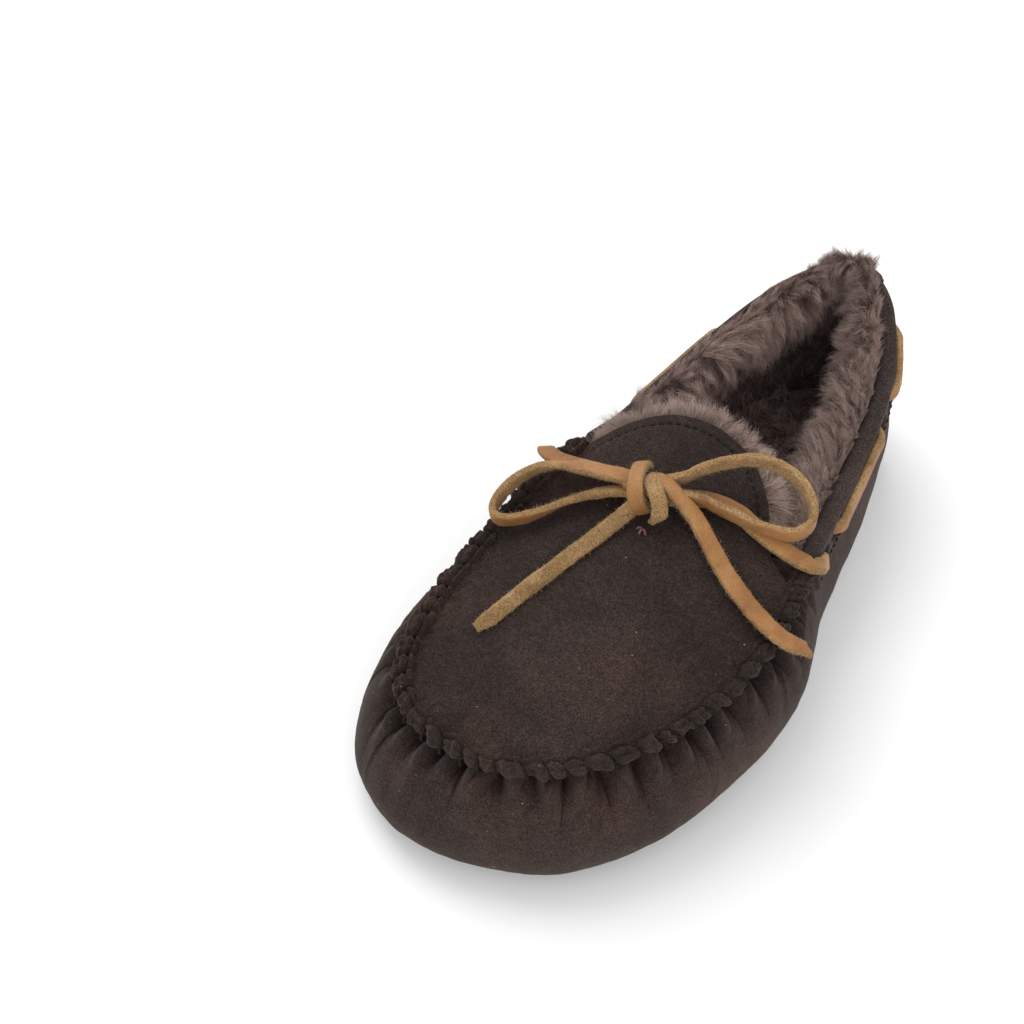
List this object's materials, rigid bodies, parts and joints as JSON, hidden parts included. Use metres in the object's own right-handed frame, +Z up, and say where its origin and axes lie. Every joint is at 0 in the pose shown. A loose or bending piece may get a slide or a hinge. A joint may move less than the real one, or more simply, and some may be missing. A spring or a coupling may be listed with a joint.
{
  "type": "moccasin slipper",
  "caption": "Left-foot suede moccasin slipper with a puckered plug seam, fleece lining, a rawhide lace threaded through the collar and tied in a bow, and a rubber outsole.",
  "frame": {"origin": "middle of the shoe's footprint, on the floor", "axes": "+Y from toe to heel, +X towards the outer side of the wearer's left foot, +Z up"},
  "size_m": [0.1214, 0.2552, 0.085],
  "materials": {
    "sole_rubber": "matte moulded rubber with a cross-grooved tread",
    "foam": "open-cell latex foam",
    "board": "pressed fibre board",
    "fleece": "dyed sheepskin fleece, clumped fibres",
    "suede": "chocolate suede with a soft nap",
    "thread": "waxed twisted thread",
    "lace": "tan rawhide, smooth face and fuzzy flesh side",
    "tack_thread": "fine twisted thread"
  },
  "bodies": {
    "shoe": {"outsole": "sole_rubber", "bottom_filler": "foam", "lasting_board": "board", "footbed_foam": "foam", "footbed_fleece": "fleece", "vamp_wall": "suede", "heel_counter": "board", "heel_patch": "suede", "quarter_lining_lateral": "fleece", "quarter_lining_medial": "fleece", "vamp_lining": "fleece", "collar_band_lateral": "suede", "collar_band_medial": "suede", "plug": "suede", "plug_lining": "fleece", "plug_whip_stitch": "thread", "collar_stitching_lateral": "thread", "collar_stitching_medial": "thread", "lace_collar": "lace", "lace_knot": "lace", "lace_loop_left": "lace", "lace_loop_right": "lace", "lace_tail_left": "lace", "lace_tail_right": "lace", "lace_tack": "tack_thread"},
    "tongue": {"tongue": "suede", "tongue_lining": "fleece", "tongue_stitching": "thread"}
  },
  "joints": [
    {"name": "tongue_flex", "type": "hinge", "parent": "shoe", "child": "tongue", "pos_m": [-0.0054, 0.00134, 0.065], "axis": [1, 0, 0], "range_deg": [-18, 15], "stiffness_Nm_per_rad": 0.05}
  ]
}
